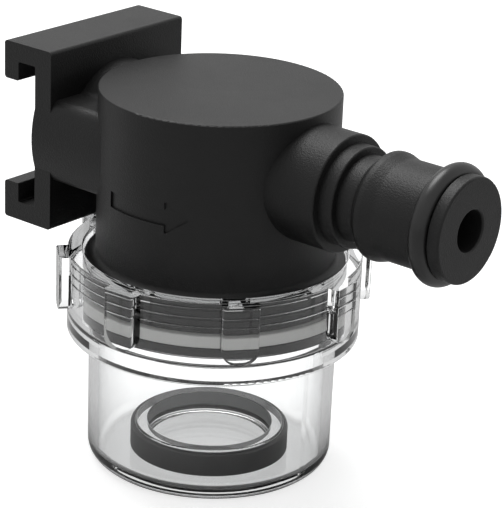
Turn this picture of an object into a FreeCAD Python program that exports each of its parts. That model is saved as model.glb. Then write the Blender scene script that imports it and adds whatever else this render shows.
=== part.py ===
import FreeCAD, Part
import math
import os

# Sea water strainer: a moulded head with an inlet socket and an outlet plug, a clear screw-on bowl,
# and a mesh screen hanging inside. Millimetres, +Z up, origin at the middle of the bowl's underside.
# The ports lie on one line along X: water enters at -X and leaves at +X.

# Bowl
cup_radius = 26.2
cup_draft = 0.2           # radius lost from the collar down to the foot
cup_wall = 2.2
cup_floor = 2.2
cup_height = 28.6         # base to the underside of the collar
foot_rounding = 3.2
collar_radius = 30.8
collar_height = 18.0
collar_floor = 3.0        # thickness of the collar's underside
thread_bore_radius = 27.6
thread_depth = 12.7       # collar top down to the seal's seat
step_radius = 25.9        # wall between the seal's seat and the collar's floor

# Grip lugs round the collar
lug_count = 8
lug_phase = 4.8           # degrees from +X to the first lug
lug_width = 7.6
lug_height = 12.3
lug_stand = 2.2           # how far a lug stands out from the collar
lug_nose = 3.2            # length of the rounded lower end
lug_rounding = 0.8

# Boss on the bowl's floor and the rubber ring round it
boss_radius = 15.7
boss_height = 5.4
boss_wall = 2.4
recess_depth = 4.4
recess_rounding = 1.3
ring_wall = 1.15
ring_drop = 0.3           # how far the ring's top lies below the boss's
ring_rounding = 0.9
ring_clearance = 0.05

# Head
head_radius = 25.0
head_height = 42.7        # spigot end to the flat top
head_wall = 3.2
head_roof = 3.8
head_edge = 0.3
flange_radius = 27.3
flange_thickness = 1.0
flange_fillet = 1.8
spigot_radius = 26.4      # core of the thread
spigot_length = 6.7
spigot_wall = 2.4

# Seal on its seat in the bowl and the slip washer between it and the spigot's end
seal_thickness = 1.9
washer_thickness = 2.6
seal_width = 2.8
seal_clearance = 0.1

# Ports
port_drop = 14.1          # flat top down to the port axis
port_reach = 33.0         # head axis to the mouth of the inlet socket

# Inlet socket with the track for a slide clip
inlet_boss_radius = 21.2
inlet_boss_height = 17.6  # between the boss's flat top and bottom
inlet_boss_rounding = 2.5
socket_radius = 12.0
socket_wall = 2.0
socket_depth = 20.7
socket_floor = 1.4
socket_chamfer = 1.0
inlet_passage_radius = 6.5
plate_width = 40.4
plate_height = 38.7
plate_thickness = 4.5
track_gap = 4.8
rail_thickness = 4.0      # top and bottom rails
lip_thickness = 4.0
lip_depth = 4.1
lip_relief = 0.8          # room round the socket's bore where a plug passes between the lips
plate_rounding = 0.7
track_rounding = 0.3

# Flow arrow sunk in the body's side
arrow_angle = -85.8       # degrees from +X to the arrow's middle
arrow_drop = 20.1         # flat top down to the arrow's centre line
arrow_length = 19.7
arrow_point_length = 5.0
arrow_shaft_width = 3.4
arrow_point_width = 7.2
arrow_depth = 0.4

# Outlet plug, lengths measured outwards from the head's axis
outlet_boss_radius = 12.1
outlet_boss_reach = 34.0
step_collar_radius = 10.4
step_collar_length = 3.3
neck_radius = 8.9
neck_length = 3.9
crest_radius = 11.1
crest_lead = 1.8          # steep side of the retaining ring
crest_flat = 1.3
crest_fall = 2.5          # long side, down to the barrel
barrel_radius = 10.3
barrel_length = 9.0
oring_groove_width = 4.3
oring_groove_depth = 2.0
tip_radius = 10.7
tip_length = 2.7
outlet_bore_radius = 4.2
plug_rounding = 0.4

# O-ring on the outlet plug
oring_thickness = 4.0
oring_clearance = 0.05

# Duct inside the head, from the screen to the outlet
duct_radius = 7.2
duct_bore_radius = 4.9
duct_reach = 18.3         # port axis down to the duct's open end

# Screen
screen_radius = 13.0
screen_length = 21.0
screen_cap = 2.0
screen_hub = 3.0
screen_clearance = 0.1
rib_count = 4
rib_width = 2.2
rib_depth = 1.3
mesh_thickness = 0.35
mesh_clearance = 0.05

# Heights and stations that follow from the sizes above
collar_top = cup_height + collar_height
seal_seat = collar_top - thread_depth
washer_low = seal_seat + seal_thickness + 2 * seal_clearance
spigot_end = washer_low + washer_thickness + seal_clearance
head_top = spigot_end + head_height
port_axis = head_top - port_drop
chamber_top = head_top - head_roof
flange_top = spigot_end + spigot_length
duct_end = port_axis - duct_reach
boss_top = cup_floor + boss_height

origin = FreeCAD.Vector(0, 0, 0)
along_x = FreeCAD.Vector(1, 0, 0)
along_y = FreeCAD.Vector(0, 1, 0)
along_z = FreeCAD.Vector(0, 0, 1)


def rounded_wire(corners, place):
    """Closed wire through (u, v, rounding) corners; place maps each (u, v) to a vector."""
    starts = []
    ends = []
    for index, (u, v, radius) in enumerate(corners):
        before = corners[index - 1]
        after = corners[(index + 1) % len(corners)]
        if radius == 0:
            starts.append((u, v))
            ends.append((u, v))
            continue
        to_before = (before[0] - u, before[1] - v)
        to_after = (after[0] - u, after[1] - v)
        length_before = math.hypot(*to_before)
        length_after = math.hypot(*to_after)
        cosine = (to_before[0] * to_after[0] + to_before[1] * to_after[1]) / (length_before * length_after)
        half_angle = math.acos(max(-1.0, min(1.0, cosine))) / 2
        trim = min(radius / math.tan(half_angle), 0.49 * length_before, 0.49 * length_after)
        starts.append((u + to_before[0] / length_before * trim, v + to_before[1] / length_before * trim))
        ends.append((u + to_after[0] / length_after * trim, v + to_after[1] / length_after * trim))
    edges = []
    for index, (u, v, radius) in enumerate(corners):
        start = starts[index]
        end = ends[index]
        if radius > 0:
            chord = math.dist(start, end)
            middle = ((start[0] + end[0]) / 2, (start[1] + end[1]) / 2)
            reach = math.dist((u, v), middle)
            trim = math.dist((u, v), start)
            true_radius = trim * chord / 2 / reach
            sagitta = true_radius - math.sqrt(max(true_radius ** 2 - chord ** 2 / 4, 0))
            pull = sagitta / reach
            bulge = (middle[0] + (u - middle[0]) * pull, middle[1] + (v - middle[1]) * pull)
            edges.append(Part.Arc(place(*start), place(*bulge), place(*end)).toShape())
        following = starts[(index + 1) % len(corners)]
        if math.dist(end, following) > 1e-6:
            edges.append(Part.LineSegment(place(*end), place(*following)).toShape())
    return Part.Wire(edges)


def turned_about_z(corners):
    """Solid of revolution about Z from (radius, height, rounding) corners."""
    wire = rounded_wire(corners, lambda radius, height: FreeCAD.Vector(radius, 0, height))
    return Part.Face(wire).revolve(origin, along_z, 360)


def turned_about_port(corners):
    """Solid of revolution about the port axis from (station, radius, rounding) corners."""
    wire = rounded_wire(corners, lambda station, radius: FreeCAD.Vector(station, 0, port_axis + radius))
    return Part.Face(wire).revolve(FreeCAD.Vector(0, 0, port_axis), along_x, 360)


def rod(radius, start, end):
    """Cylinder between two points."""
    span = end - start
    return Part.makeCylinder(radius, span.Length, start, span)


def on_port(station):
    return FreeCAD.Vector(station, 0, port_axis)


def bowl():
    """Clear bowl: cup, threaded collar, grip lugs and the boss on its floor, in one moulding."""
    foot_radius = cup_radius - cup_draft
    floor_radius = foot_radius - cup_wall
    body = turned_about_z([
        (0, 0, 0),
        (foot_radius, 0, foot_rounding),
        (cup_radius, cup_height, 0),
        (collar_radius, cup_height, 0.8),
        (collar_radius, collar_top, 0.3),
        (thread_bore_radius, collar_top, 0.4),
        (thread_bore_radius, seal_seat, 0),
        (step_radius, seal_seat, 0.3),
        (step_radius, cup_height + collar_floor, 0.6),
        (cup_radius - cup_wall, cup_height + collar_floor, 1.2),
        (floor_radius, cup_floor, foot_rounding - cup_wall / 2),
        (boss_radius, cup_floor, 0),
        (boss_radius, boss_top, 0.2),
        (boss_radius - boss_wall, boss_top, 0.2),
        (boss_radius - boss_wall, boss_top - recess_depth, recess_rounding),
        (0, boss_top - recess_depth, 0),
    ])
    lugs = []
    for index in range(lug_count):
        lug = grip_lug()
        lug.rotate(origin, along_z, lug_phase + index * 360 / lug_count)
        lugs.append(lug)
    return body.fuse(lugs).removeSplitter()


def grip_lug():
    """One grip lug on the collar at +X, with softened outer edges and a rounded lower end."""
    root = (collar_radius + thread_bore_radius) / 2
    crown = collar_radius + lug_stand
    half = lug_width / 2
    low = collar_top - lug_height
    plan = rounded_wire([
        (root, -half, 0), (crown, -half, lug_rounding), (crown, half, lug_rounding), (root, half, 0),
    ], lambda x, y: FreeCAD.Vector(x, y, low - 1))
    bar = Part.Face(plan).extrude(along_z * (lug_height + 1))
    face = rounded_wire([
        (-half, collar_top, 0), (-half, low, lug_nose), (half, low, lug_nose), (half, collar_top, 0),
    ], lambda y, height: FreeCAD.Vector(root - 1, y, height))
    outline = Part.Face(face).extrude(along_x * (crown + 2 - root))
    return bar.common(outline)


def floor_ring():
    """Rubber ring round the boss on the bowl's floor."""
    inner = boss_radius + ring_clearance
    outer = inner + ring_wall
    top = boss_top - ring_drop
    return turned_about_z([
        (inner, cup_floor, 0),
        (outer, cup_floor, 0),
        (outer, top, ring_rounding),
        (inner, top, 0.2),
    ])


def flat_ring(low, thickness):
    """Flat ring that lies loose in the bowl's thread bore."""
    outer = thread_bore_radius - 2 * seal_clearance
    return turned_about_z([
        (outer - seal_width, low, 0.2),
        (outer, low, 0.2),
        (outer, low + thickness, 0.2),
        (outer - seal_width, low + thickness, 0.2),
    ])


def bowl_seal():
    """Rubber seal on its seat in the bowl."""
    return flat_ring(seal_seat + seal_clearance, seal_thickness)


def slip_washer():
    """Washer that lets the spigot's end turn on the seal without dragging it."""
    return flat_ring(washer_low, washer_thickness)


def head():
    """Head: round body, clip-track plate with the inlet socket, and the outlet plug, in one moulding."""
    solid = head_shell().fuse([inlet_boss(), clip_plate(), outlet_plug(), duct()])
    chamber = turned_about_z([
        (0, spigot_end - 1, 0),
        (spigot_radius - spigot_wall, spigot_end - 1, 0),
        (spigot_radius - spigot_wall, flange_top - flange_fillet, 0),
        (head_radius - head_wall, flange_top + flange_fillet, 0),
        (head_radius - head_wall, chamber_top, 2.5),
        (0, chamber_top, 0),
    ])
    lining = socket_tube().fuse(duct())
    solid = solid.cut(chamber.cut(lining))
    solid = solid.fuse(lining.common(chamber)).cut([socket_bore(), outlet_passage(), flow_arrow()])
    return solid.removeSplitter()


def head_shell():
    """Round body on its flange and the core of the threaded spigot, still solid inside."""
    return turned_about_z([
        (0, spigot_end, 0),
        (spigot_radius, spigot_end, 0.5),
        (spigot_radius, flange_top - flange_thickness, 0),
        (flange_radius, flange_top - flange_thickness, 0),
        (flange_radius, flange_top, 0.3),
        (head_radius, flange_top, flange_fillet),
        (head_radius, head_top, head_edge),
        (0, head_top, 0),
    ])


def inlet_boss():
    """Boss from the body to the mouth: a barrel with a flat top and bottom round the socket's wall."""
    mouth = on_port(-port_reach)
    barrel = rod(inlet_boss_radius, mouth, on_port(0))
    corner = mouth - FreeCAD.Vector(0, inlet_boss_radius + 1, inlet_boss_height / 2)
    slab = Part.makeBox(port_reach, 2 * (inlet_boss_radius + 1), inlet_boss_height, corner)
    wall = rod(socket_radius + socket_wall, mouth, on_port(0))
    boss = barrel.common(slab).fuse(wall).removeSplitter()
    ridges = []
    for edge in boss.Edges:
        level = abs(edge.Vertexes[0].Z - port_axis)
        if edge.BoundBox.XLength > port_reach - 0.01 and abs(level - inlet_boss_height / 2) < 0.01:
            ridges.append(edge)
    return boss.makeFillet(inlet_boss_rounding, ridges)


def flow_arrow():
    """Sunk arrow on the body's side, pointing from the inlet to the outlet."""
    tail = -arrow_length / 2
    point = arrow_length / 2
    neck = point - arrow_point_length
    shaft = arrow_shaft_width / 2
    barb = arrow_point_width / 2
    corners = [(tail, -shaft, 0.3), (neck, -shaft, 0), (neck, -barb, 0.3), (point, 0, 0.3),
               (neck, barb, 0.3), (neck, shaft, 0), (tail, shaft, 0.3)]
    middle = head_top - arrow_drop
    wire = rounded_wire(corners, lambda u, v: FreeCAD.Vector(head_radius / 2, u, middle + v))
    bar = Part.Face(wire).extrude(along_x * head_radius)
    bar.rotate(origin, along_z, arrow_angle)
    low = FreeCAD.Vector(0, 0, middle - barb - 1)
    high = FreeCAD.Vector(0, 0, middle + barb + 1)
    return bar.cut(rod(head_radius - arrow_depth, low, high))


def clip_plate():
    """Plate behind the inlet mouth, with rails and lips that make a track for the slide clip."""
    inner = -(port_reach - plate_thickness)
    mouth = -port_reach
    lip_inner = mouth - track_gap
    lip_outer = lip_inner - lip_thickness
    top = plate_height / 2
    rail = top - rail_thickness
    lip = rail - lip_depth
    section = [
        (inner, -top, plate_rounding), (inner, top, plate_rounding),
        (lip_outer, top, plate_rounding), (lip_outer, lip, plate_rounding),
        (lip_inner, lip, track_rounding), (lip_inner, rail, track_rounding),
        (mouth, rail, track_rounding), (mouth, -rail, track_rounding),
        (lip_inner, -rail, track_rounding), (lip_inner, -lip, track_rounding),
        (lip_outer, -lip, plate_rounding), (lip_outer, -top, plate_rounding),
    ]
    wire = rounded_wire(section, lambda x, height: FreeCAD.Vector(x, -plate_width / 2, port_axis + height))
    plate = Part.Face(wire).extrude(along_y * plate_width)
    return plate.cut(rod(socket_radius + lip_relief, on_port(lip_outer - 1), on_port(mouth)))


def socket_tube():
    """Wall of the inlet socket where it reaches into the body."""
    end = socket_depth + socket_floor - port_reach
    return rod(socket_radius + socket_wall, on_port(-port_reach), on_port(end))


def socket_bore():
    """Bore of the inlet socket, with a lead-in at its mouth and a narrower passage through its floor."""
    mouth = -port_reach
    floor = mouth + socket_depth
    return turned_about_port([
        (mouth - 1, 0, 0),
        (mouth - 1, socket_radius + socket_chamfer, 0),
        (mouth, socket_radius + socket_chamfer, 0),
        (mouth + socket_chamfer, socket_radius, 0),
        (floor, socket_radius, 0.5),
        (floor, inlet_passage_radius, 0.3),
        (floor + socket_floor + 1, inlet_passage_radius, 0),
        (floor + socket_floor + 1, 0, 0),
    ])


def plug_stations():
    """Stations along the outlet plug, outwards from the head's axis."""
    names = ["boss", "step", "neck", "crest", "flat", "fall", "barrel", "groove", "tip"]
    lengths = [outlet_boss_reach, step_collar_length, neck_length, crest_lead, crest_flat, crest_fall,
               barrel_length, oring_groove_width, tip_length]
    stations = {}
    reached = 0
    for name, length in zip(names, lengths):
        reached += length
        stations[name] = reached
    return stations


def outlet_plug():
    """Boss and stepped plug: clip neck, retaining ring, barrel, O-ring groove and tip flange."""
    at = plug_stations()
    groove_radius = barrel_radius - oring_groove_depth
    return turned_about_port([
        (0, 0, 0),
        (0, outlet_boss_radius, 0),
        (at["boss"], outlet_boss_radius, plug_rounding),
        (at["boss"], step_collar_radius, 0),
        (at["step"], step_collar_radius, plug_rounding),
        (at["step"], neck_radius, 0),
        (at["neck"], neck_radius, 1.0),
        (at["crest"], crest_radius, 1.0),
        (at["flat"], crest_radius, 1.6),
        (at["fall"], barrel_radius, 2.5),
        (at["barrel"], barrel_radius, plug_rounding / 2),
        (at["barrel"], groove_radius, 0.2),
        (at["groove"], groove_radius, 0.2),
        (at["groove"], tip_radius, plug_rounding / 2),
        (at["tip"], tip_radius, 1.2 * plug_rounding),
        (at["tip"], 0, 0),
    ])


def duct():
    """Post and cross tube that carry the water from the screen to the outlet."""
    post = rod(duct_radius, FreeCAD.Vector(0, 0, duct_end), FreeCAD.Vector(0, 0, chamber_top + 1))
    cross = rod(duct_radius, on_port(0), on_port(head_radius))
    return post.fuse(cross)


def outlet_passage():
    """Water way up the post and out through the plug, with a softened mouth at the tip."""
    tip = plug_stations()["tip"]
    rise = rod(duct_bore_radius, FreeCAD.Vector(0, 0, duct_end - 1), on_port(0))
    bend = Part.makeSphere(duct_bore_radius, on_port(0))
    run = turned_about_port([
        (0, 0, 0),
        (0, outlet_bore_radius, 0),
        (tip, outlet_bore_radius, plug_rounding),
        (tip, outlet_bore_radius + 1, 0),
        (tip + 1, outlet_bore_radius + 1, 0),
        (tip + 1, 0, 0),
    ])
    return rise.fuse([bend, run])


def plug_oring():
    """O-ring seated in the groove behind the tip flange."""
    at = plug_stations()
    thickness = oring_thickness / 2
    centre_radius = barrel_radius - oring_groove_depth + oring_clearance + thickness
    station = (at["barrel"] + at["groove"]) / 2
    return Part.makeTorus(centre_radius, thickness, on_port(station), along_x)


def screen_frame():
    """Frame of the screen: a hub that pushes onto the duct, ribs and a closed bottom cap."""
    hub_low = duct_end + screen_clearance
    hub_top = hub_low + screen_hub
    cap_low = hub_top - screen_length
    hub = turned_about_z([
        (duct_radius + screen_clearance, hub_low, 0.3),
        (screen_radius, hub_low, 0),
        (screen_radius, hub_top, 0.5),
        (duct_radius + screen_clearance, hub_top, 0),
    ])
    cap = turned_about_z([
        (0, cap_low, 0),
        (screen_radius, cap_low, 0.5),
        (screen_radius, cap_low + screen_cap, 0),
        (0, cap_low + screen_cap, 0),
    ])
    rib_outer = screen_radius - mesh_thickness - 2 * mesh_clearance
    ribs = []
    for index in range(rib_count):
        corner = FreeCAD.Vector(rib_outer - rib_depth, -rib_width / 2, cap_low + screen_cap)
        rib = Part.makeBox(rib_depth, rib_width, hub_low - cap_low - screen_cap, corner)
        rib = rib.common(rod(rib_outer, FreeCAD.Vector(0, 0, cap_low), FreeCAD.Vector(0, 0, hub_top)))
        rib.rotate(origin, along_z, 45 + index * 360 / rib_count)
        ribs.append(rib)
    return cap.fuse([hub] + ribs).removeSplitter()


def screen_mesh():
    """Woven mesh sleeve round the frame's ribs, between the hub and the cap."""
    hub_low = duct_end + screen_clearance
    cap_top = hub_low + screen_hub - screen_length + screen_cap
    outer = screen_radius - mesh_clearance
    return turned_about_z([
        (outer - mesh_thickness, cap_top + mesh_clearance, 0),
        (outer, cap_top + mesh_clearance, 0),
        (outer, hub_low - mesh_clearance, 0),
        (outer - mesh_thickness, hub_low - mesh_clearance, 0),
    ])


pieces = {
    "head": head,
    "bowl": bowl,
    "bowl_seal": bowl_seal,
    "slip_washer": slip_washer,
    "floor_ring": floor_ring,
    "plug_oring": plug_oring,
    "screen_frame": screen_frame,
    "screen_mesh": screen_mesh,
}

os.makedirs("parts", exist_ok=True)
for name, make in pieces.items():
    shape = make()
    shape.exportStep(f"parts/{name}.step")
    box = shape.BoundBox
    print(name, "solids", len(shape.Solids), "valid", shape.isValid(), "volume", round(shape.Volume, 1),
          "x", round(box.XMin, 2), round(box.XMax, 2), "z", round(box.ZMin, 2), round(box.ZMax, 2))
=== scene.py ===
import math

import bmesh
import bpy
from mathutils import Matrix, Vector


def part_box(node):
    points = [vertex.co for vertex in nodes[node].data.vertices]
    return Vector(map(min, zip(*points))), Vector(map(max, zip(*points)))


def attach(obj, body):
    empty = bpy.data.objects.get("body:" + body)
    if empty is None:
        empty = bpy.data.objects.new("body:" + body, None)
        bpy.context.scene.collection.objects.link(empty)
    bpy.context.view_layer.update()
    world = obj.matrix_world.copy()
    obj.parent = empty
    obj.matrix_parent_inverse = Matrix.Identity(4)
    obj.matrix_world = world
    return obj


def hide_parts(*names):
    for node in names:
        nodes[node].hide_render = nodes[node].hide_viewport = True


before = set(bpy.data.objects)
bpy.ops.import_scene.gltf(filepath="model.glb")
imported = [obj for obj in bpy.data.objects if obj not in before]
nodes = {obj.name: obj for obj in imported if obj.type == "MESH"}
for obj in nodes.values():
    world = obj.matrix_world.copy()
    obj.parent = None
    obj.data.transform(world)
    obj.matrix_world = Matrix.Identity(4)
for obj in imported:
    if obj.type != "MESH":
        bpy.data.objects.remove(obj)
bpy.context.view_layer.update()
scene = bpy.context.scene
mm = 0.001
print("frame loaded,", len(nodes), "nodes")


class Value:
    # a node's output that can be used in Python arithmetic; every operator adds one Math node
    def __init__(self, finish, socket):
        self.finish = finish
        self.socket = socket

    def math(self, operation, *others):
        sockets = dict(enumerate([self, *others]))
        return self.finish.node("ShaderNodeMath", {"operation": operation}, sockets)

    def __add__(self, other):
        return self.math("ADD", other)

    def __radd__(self, other):
        return self.math("ADD", other)

    def __sub__(self, other):
        return self.math("SUBTRACT", other)

    def __rsub__(self, other):
        return self.finish.node("ShaderNodeMath", {"operation": "SUBTRACT"}, {0: other, 1: self})

    def __mul__(self, other):
        return self.math("MULTIPLY", other)

    def __rmul__(self, other):
        return self.math("MULTIPLY", other)

    def __truediv__(self, other):
        return self.math("DIVIDE", other)

    def __pow__(self, other):
        return self.math("POWER", other)


class Finish:
    # the node tree of one material, or of the world
    def __init__(self, name, library=bpy.data.materials):
        self.owner = library.new(name)
        self.owner.use_nodes = True
        self.tree = self.owner.node_tree
        self.tree.nodes.clear()

    def node(self, kind, settings=None, sockets=None, output=0):
        # settings come first, because some of them decide which sockets there are
        made = self.tree.nodes.new(kind)
        for key, setting in (settings or {}).items():
            setattr(made, key, setting)
        for key, value in (sockets or {}).items():
            if isinstance(value, Value):
                self.tree.links.new(value.socket, made.inputs[key])
            else:
                made.inputs[key].default_value = value
        return Value(self, made.outputs[output]) if made.outputs else made

    def place(self):
        return self.node("ShaderNodeTexCoord", output="Object")

    def part(self, axis):
        return self.node("ShaderNodeSeparateXYZ", None, {"Vector": self.place()}, output=axis)

    def radius(self):
        # distance from the bowl's axis
        across = self.part("X")
        along = self.part("Y")
        return (across * across + along * along) ** 0.5

    def noise(self, scale, detail, roughness=0.5):
        sockets = {"Vector": self.place(), "Scale": scale, "Detail": detail, "Roughness": roughness}
        return self.node("ShaderNodeTexNoise", {"noise_dimensions": "3D"}, sockets)

    def between(self, value, low, high, toLow=0.0, toHigh=1.0):
        sockets = {"Value": value, "From Min": low, "From Max": high, "To Min": toLow, "To Max": toHigh}
        return self.node("ShaderNodeMapRange", {"clamp": True}, sockets)

    def blend(self, factor, first, second):
        sockets = {0: factor, 6: first, 7: second}
        return self.node("ShaderNodeMix", {"data_type": "RGBA"}, sockets, output=2)

    def bump(self, height, distance):
        return self.node("ShaderNodeBump", None, {"Height": height, "Distance": distance})

    def seenStraight(self):
        # 1 for rays from the camera, also through clear walls, and 0 for rays that light or mirror
        camera = self.node("ShaderNodeLightPath", output="Is Camera Ray")
        through = self.node("ShaderNodeLightPath", output="Is Transmission Ray")
        diffuse = self.node("ShaderNodeLightPath", output="Diffuse Depth")
        glossy = self.node("ShaderNodeLightPath", output="Glossy Depth")
        bounced = (diffuse + glossy).math("MINIMUM", 1.0)
        return camera.math("MAXIMUM", through * (1 - bounced))

    def surface(self, sockets):
        shader = self.node("ShaderNodeBsdfPrincipled", None, sockets)
        self.node("ShaderNodeOutputMaterial", None, {"Surface": shader})
        return self.owner


plasticIor = 1.5
noiseSpan = (0.3, 0.7)     # most of a noise lies between these
bloomSpan = (0.4, 0.75)    # where the dusty bloom on rubber and nylon starts and is full


def grey(level):
    return (level, level, level, 1)


def mouldedBlack(name, look):
    # black plastic from a fine-eroded mould: tight grain, faint clouds, rubbed a little shinier in patches
    finish = Finish(name)
    grain = finish.noise(look["grainScale"], 3.0, 0.6)
    cloud = finish.noise(look["cloudScale"], 3.0, 0.55)
    shade = finish.between(cloud, *look["cloudSpan"])
    wear = cloud * look["cloudShare"] + grain * (1 - look["cloudShare"])
    return finish.surface({"Base Color": finish.blend(shade, grey(look["dark"]), grey(look["light"])),
                           "Roughness": finish.between(wear, *noiseSpan, *look["rough"]),
                           "Normal": finish.bump(grain, look["grainDepth"]),
                           "IOR": plasticIor, "Specular IOR Level": look["gloss"]})


def screwLines(finish, look):
    # fine lines that climb the collar's bore at the thread's pitch
    height = finish.part("Z")
    turn = finish.part("Y").math("ARCTAN2", finish.part("X")) / math.tau
    beat = ((height / look["linePitch"] - turn).math("FRACT") - 0.5).math("ABSOLUTE")
    line = finish.between(beat, 0.0, look["lineWidth"], 1.0, 0.0)
    reach = look["lineReach"]
    inBore = finish.between(finish.radius(), reach, reach + look["reachFade"], 1.0, 0.0)
    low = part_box("head")[0].z + look["lineAbove"]
    above = finish.between(height, low, low + look["lowFade"])
    return line * inBore * above


def clearPlastic(name, look):
    # polished polycarbonate: a trace of handling haze, and painted shade: a darker tone where the wall is
    # seen edge on, standing in for the dark surroundings seen through it
    finish = Finish(name)
    haze = finish.noise(look["hazeScale"], 4.0, 0.6)
    edgeOn = finish.node("ShaderNodeLayerWeight", None, {"Blend": 0.5}, output="Facing")
    # painted shade: walls seen edge on take the darker tint
    edgeShadePaint = finish.between(edgeOn, *look["edgeShadeSpan"])
    return finish.surface({"Base Color": finish.blend(edgeShadePaint, (*look["tint"], 1), (*look["edgeShadeTint"], 1)),
                           "Roughness": finish.between(haze, *look["hazeSpan"], *look["rough"]),
                           "Normal": finish.bump(screwLines(finish, look), look["lineDepth"]),
                           "IOR": plasticIor, "Transmission Weight": 1.0})


def rubber(name, look):
    # smooth rubber or nylon with a faint bloom; an optional look entry paints the face against the boss
    # pale: painted light, standing in for the light seen through the clear boss
    finish = Finish(name)
    bloom = finish.noise(look["bloomScale"], 4.0, 0.6)
    patches = finish.between(bloom, *bloomSpan)
    colour = finish.blend(patches, (*look["colour"], 1), (*look["bloomColour"], 1))
    if "lining" in look:
        colour = paintedLightColour(finish, look["lining"], patches, colour)
    return finish.surface({"Base Color": colour,
                           "Roughness": finish.between(bloom, *noiseSpan, *look["rough"]),
                           "Normal": finish.bump(finish.noise(look["grainScale"], 2.0), look["grainDepth"])})


# painted light: the ring's inner face above its foot is pale where the clear boss shows light, and stays
# black below
def paintedLightColour(finish, lining, patches, outside):
    low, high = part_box("floor_ring")
    reach = high.x - lining["fromOuter"]
    bottom = low.z + lining["fromFoot"]
    inside = finish.between(finish.radius(), reach, reach + lining["reachFade"], 1.0, 0.0)
    above = finish.between(finish.part("Z"), bottom, bottom + lining["lowFade"])
    pale = finish.blend(patches, grey(lining["pale"]), grey(lining["paleBloom"]))
    return finish.blend(inside * above, outside, pale)


def steel(name, look):
    finish = Finish(name)
    shade = finish.noise(look["shadeScale"], 3.0)
    return finish.surface({"Base Color": finish.blend(shade, grey(look["dark"]), grey(look["light"])),
                           "Metallic": 1.0, "Roughness": look["roughness"]})


def dress(node, material):
    target = nodes[node]
    target.data.materials.clear()
    target.data.materials.append(material)


def addPiece(name, shape, material, body, softAngle):
    # shape is a finished bmesh, already in its place; edges sharper than softAngle stay crisp
    mesh = bpy.data.meshes.new(name)
    shape.to_mesh(mesh)
    shape.free()
    mesh.materials.append(material)
    for face in mesh.polygons:
        face.use_smooth = True
    mesh.set_sharp_from_angle(angle=math.radians(softAngle))
    piece = bpy.data.objects.new(name, mesh)
    scene.collection.objects.link(piece)
    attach(piece, body)
    return piece


headLook = {"dark": 0.006, "light": 0.009, "rough": (0.4, 0.5), "gloss": 0.3, "grainScale": 2800.0,
            "grainDepth": 0.1 * mm, "cloudScale": 90.0, "cloudSpan": (0.35, 0.7), "cloudShare": 0.6}
headFinish = mouldedBlack("mouldedHead", headLook)
dress("head", headFinish)

# the ridge of the spigot's screw thread: "above" is from the spigot's end, "root" and "crest" are radii
threadLook = {"above": 1.2 * mm, "pitch": 2.0 * mm, "turns": 1.9, "stepsPerTurn": 120,
              "root": 26.2 * mm, "crest": 27.35 * mm, "footHalf": 0.75 * mm, "tipHalf": 0.3 * mm,
              "weld": 0.0001 * mm, "softAngle": 30}


def makeSpigotThread(look):
    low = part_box("head")[0].z + look["above"]
    section = [(look["root"], low - look["footHalf"]), (look["crest"], low - look["tipHalf"]),
               (look["crest"], low + look["tipHalf"]), (look["root"], low + look["footHalf"])]
    shape = bmesh.new()
    corners = [shape.verts.new((radius, 0, height)) for radius, height in section]
    edges = [shape.edges.new((corners[index - 1], corners[index])) for index in range(len(corners))]
    bmesh.ops.spin(shape, geom=corners + edges, cent=(0, 0, 0), axis=(0, 0, 1),
                   dvec=(0, 0, look["pitch"] / look["stepsPerTurn"]), angle=look["turns"] * math.tau,
                   steps=round(look["turns"] * look["stepsPerTurn"]), use_merge=False, use_duplicate=False)
    bmesh.ops.remove_doubles(shape, verts=shape.verts, dist=look["weld"])
    ends = [edge for edge in shape.edges if edge.is_boundary]
    bmesh.ops.holes_fill(shape, edges=ends, sides=len(section))
    bmesh.ops.recalc_face_normals(shape, faces=shape.faces)
    piece = addPiece("spigotThread", shape, headFinish, "head_body", look["softAngle"])


makeSpigotThread(threadLook)
print("head dressed, spigot threaded")

# the bowl's edge-on tint is painted shade, not the plastic's own colour
bowlLook = {"tint": (0.96, 0.965, 0.965), "edgeShadeTint": (0.72, 0.725, 0.73), "edgeShadeSpan": (0.3, 0.7),
            "hazeScale": 60.0, "hazeSpan": (0.45, 0.75), "rough": (0.0, 0.03),
            "linePitch": 2.0 * mm, "lineWidth": 0.12, "lineDepth": 0.13 * mm, "lineAbove": 0.3 * mm,
            "lineReach": 27.7 * mm, "reachFade": 0.1 * mm, "lowFade": 0.2 * mm}
dress("bowl", clearPlastic("clearBowl", bowlLook))

# the ring is black, and that black also stands in for the dark band that refraction gives the clear boss's
# wall; its pale inner face is painted light standing in for light seen through the boss
ringLook = {"colour": (0.008, 0.008, 0.008), "bloomColour": (0.013, 0.013, 0.013), "bloomScale": 150.0,
            "rough": (0.3, 0.45), "grainScale": 1800.0, "grainDepth": 0.01 * mm,
            "lining": {"pale": 0.93, "paleBloom": 0.96, "fromOuter": 0.95 * mm, "fromFoot": 1.7 * mm,
                       "reachFade": 0.1 * mm, "lowFade": 0.15 * mm}}
dress("floor_ring", rubber("ringRubberPaintedLight", ringLook))

sealLook = {"colour": (0.007, 0.007, 0.007), "bloomColour": (0.012, 0.012, 0.012), "bloomScale": 120.0,
            "rough": (0.35, 0.5), "grainScale": 1500.0, "grainDepth": 0.01 * mm}
dress("bowl_seal", rubber("sealRubber", sealLook))

washerLook = {"colour": (0.86, 0.86, 0.84), "bloomColour": (0.9, 0.9, 0.88), "bloomScale": 140.0,
              "rough": (0.3, 0.42), "grainScale": 1600.0, "grainDepth": 0.01 * mm}
dress("slip_washer", rubber("washerNylon", washerLook))

oringLook = {"colour": (0.008, 0.008, 0.008), "bloomColour": (0.014, 0.014, 0.014), "bloomScale": 160.0,
             "rough": (0.28, 0.42), "grainScale": 2000.0, "grainDepth": 0.008 * mm}
dress("plug_oring", rubber("oringRubber", oringLook))
print("bowl, ring, seals and washer dressed")

dress("screen_frame", mouldedBlack("mouldedFrame", headLook))  # the same black as the head

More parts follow.
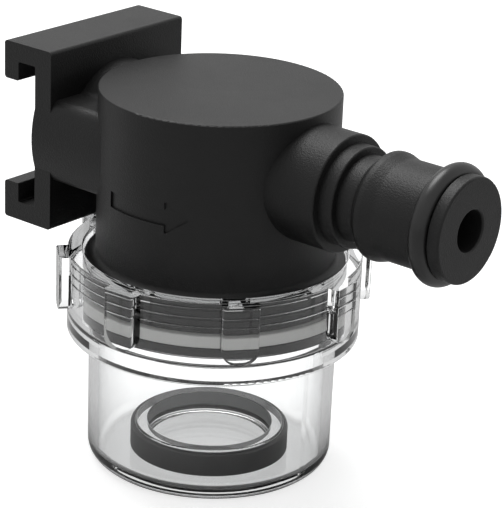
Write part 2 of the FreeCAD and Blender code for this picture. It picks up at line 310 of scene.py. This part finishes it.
meshLook = {"dark": 0.5, "light": 0.62, "shadeScale": 300.0, "roughness": 0.35, "softAngle": 40,
            "cells": 104, "wire": 0.24 * mm, "weave": 0.07 * mm, "inset": 0.2 * mm}


def makeWovenMesh(look):
    # a sleeve of crossing wires, over and under by turns, inside the plain sleeve of the solids
    low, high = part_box("screen_mesh")
    radius = high.x - look["inset"]
    height = high.z - low.z
    rows = round(height / (math.tau * radius / look["cells"]))
    shape = bmesh.new()
    ring = bmesh.ops.create_circle(shape, segments=look["cells"], radius=radius, cap_ends=False)
    bmesh.ops.translate(shape, verts=ring["verts"], vec=(0, 0, low.z))
    rim = list(shape.edges)
    for row in range(rows):
        raised = bmesh.ops.extrude_edge_only(shape, edges=rim)["geom"]
        verts = [item for item in raised if isinstance(item, bmesh.types.BMVert)]
        bmesh.ops.translate(shape, verts=verts, vec=(0, 0, height / rows))
        rim = [item for item in raised if isinstance(item, bmesh.types.BMEdge)]
    for vert in shape.verts:
        column = round(math.atan2(vert.co.y, vert.co.x) / math.tau * look["cells"])
        row = round((vert.co.z - low.z) / height * rows)
        side = 1 if (column + row) % 2 else -1
        outward = Vector((vert.co.x, vert.co.y, 0)).normalized()
        vert.co += outward * look["weave"] * side
    bmesh.ops.recalc_face_normals(shape, faces=shape.faces)
    bmesh.ops.wireframe(shape, faces=shape.faces, thickness=look["wire"], use_boundary=True,
                        use_replace=True, use_even_offset=True)
    piece = addPiece("wovenMesh", shape, steel("meshSteel", look), "head_body", look["softAngle"])
    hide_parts("screen_mesh")
    print("screen woven,", len(piece.data.polygons), "faces")


makeWovenMesh(meshLook)

# the floor lies a hair below the bowl's foot, so that the two don't flicker into each other
floorLook = {"size": 3.0, "drop": 0.05 * mm, "level": 0.6, "toneStep": 0.02, "toneScale": 4.0, "glow": 0.7}


def makeFloor(look):
    shape = bmesh.new()
    bmesh.ops.create_grid(shape, x_segments=1, y_segments=1, size=look["size"] / 2)
    bmesh.ops.translate(shape, verts=shape.verts, vec=(0, 0, -look["drop"]))
    mesh = bpy.data.meshes.new("floor")
    shape.to_mesh(mesh)
    shape.free()
    floor = bpy.data.objects.new("floor", mesh)
    scene.collection.objects.link(floor)
    finish = Finish("paleFloor")
    tone = finish.noise(look["toneScale"], 2.0)
    colour = finish.blend(tone, grey(look["level"]), grey(look["level"] + look["toneStep"]))
    lit = finish.node("ShaderNodeBsdfDiffuse", None, {"Color": colour})
    # the glow whitens the floor where it is seen, but lights nothing
    strength = finish.seenStraight() * look["glow"]
    glow = finish.node("ShaderNodeEmission", None, {"Color": grey(1), "Strength": strength})
    both = finish.node("ShaderNodeAddShader", None, {0: lit, 1: glow})
    finish.node("ShaderNodeOutputMaterial", None, {"Surface": both})
    mesh.materials.append(finish.owner)


roomLook = {"litLevel": 0.45, "mirrorLevel": 0.8, "seenLevel": 1.0}


def makeRoom(look):
    # an even white room: full white where it is seen, duller in mirror bounces and as light
    room = Finish("softStudio", bpy.data.worlds)
    mirrored = room.node("ShaderNodeLightPath", output="Is Glossy Ray")
    lit = room.between(mirrored, 0, 1, look["litLevel"], look["mirrorLevel"])
    level = room.between(room.seenStraight(), 0, 1, lit, look["seenLevel"])
    background = room.node("ShaderNodeBackground", None, {"Color": grey(1), "Strength": level})
    room.node("ShaderNodeOutputWorld", None, {"Surface": background})
    scene.world = room.owner


keyLook = {"size": 0.6, "power": 5.6, "place": (-0.25, 0.1, 0.8), "aim": (0, 0, 0.05)}


def makeKeyLight(look):
    lamp = bpy.data.lights.new("softKey", "AREA")
    lamp.shape = "DISK"
    lamp.size = look["size"]
    lamp.energy = look["power"]
    holder = bpy.data.objects.new("softKey", lamp)
    holder.location = look["place"]
    aim = Vector(look["aim"]) - Vector(look["place"])
    holder.rotation_euler = aim.to_track_quat("-Z", "Y").to_euler()
    scene.collection.objects.link(holder)


# degrees and metres; the camera looks at a point "across" and "up" from the middle of the bowl's foot
shotLook = {"azimuth": 38.881, "elevation": 21.394, "roll": 2.387, "distance": 0.47894,
            "across": 0.007473, "up": 0.045416, "focal": 162.42, "sensor": 36.0, "clipStart": 0.01}


def makeCamera(look):
    azimuth = math.radians(look["azimuth"])
    elevation = math.radians(look["elevation"])
    roll = math.radians(look["roll"])
    back = Vector((math.sin(azimuth) * math.cos(elevation), -math.cos(azimuth) * math.cos(elevation),
                   math.sin(elevation)))
    right = Vector((math.cos(azimuth), math.sin(azimuth), 0))
    up = back.cross(right)
    target = right * look["across"] + Vector((0, 0, look["up"]))
    turnedRight = right * math.cos(roll) + up * math.sin(roll)
    turnedUp = up * math.cos(roll) - right * math.sin(roll)
    turn = Matrix((turnedRight, turnedUp, back)).transposed().to_4x4()
    turn.translation = target + back * look["distance"]
    lens = bpy.data.cameras.new("camera")
    lens.sensor_width = look["sensor"]
    lens.lens = look["focal"]
    lens.clip_start = look["clipStart"]
    holder = bpy.data.objects.new("camera", lens)
    holder.matrix_world = turn
    scene.collection.objects.link(holder)
    scene.camera = holder


makeFloor(floorLook)
makeRoom(roomLook)
makeKeyLight(keyLook)
makeCamera(shotLook)
scene.view_settings.view_transform = "Standard"
print("studio made")
